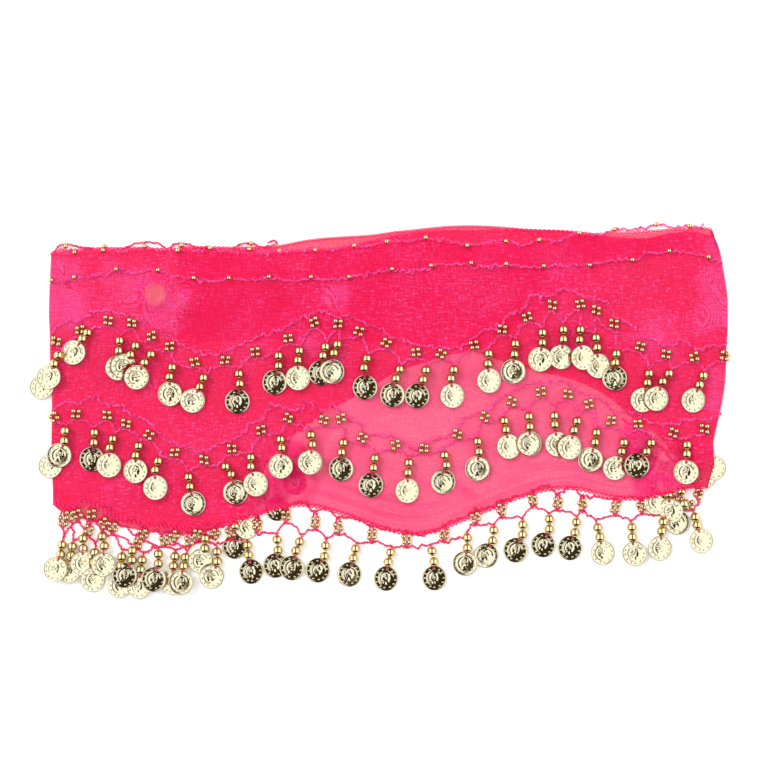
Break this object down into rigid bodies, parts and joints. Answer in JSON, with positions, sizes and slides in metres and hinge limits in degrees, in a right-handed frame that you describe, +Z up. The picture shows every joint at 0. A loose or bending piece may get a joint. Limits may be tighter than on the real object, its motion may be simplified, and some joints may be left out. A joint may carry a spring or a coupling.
{
  "type": "belly dance hip scarf",
  "caption": "Chiffon hip scarf laid flat, both ends folded behind, with wavy rows of crochet net, gold beads and coins on the front and along the hem.",
  "frame": {"origin": "middle of the laid-out scarf, fringe included, on the surface that it lies on", "axes": "+X along the strip to its right fold, +Y across it from the coin fringe to the top edge, +Z up"},
  "size_m": [0.4606, 0.2467, 0.0093],
  "materials": {
    "chiffon": "hot pink polyester chiffon, sheer and matt",
    "thread": "hot pink crochet thread",
    "gold": "bright gold plated beads and stamped coins",
    "label": "plain woven label, bare"
  },
  "bodies": {
    "root": {"chiffon_front": "chiffon", "chiffon_tails": "chiffon", "sewn_label": "label", "upper_coin_row": "gold", "lower_coin_row": "gold", "hem_coin_fringe": "gold", "tail_coin_fringe": "gold"}
  },
  "joints": []
}
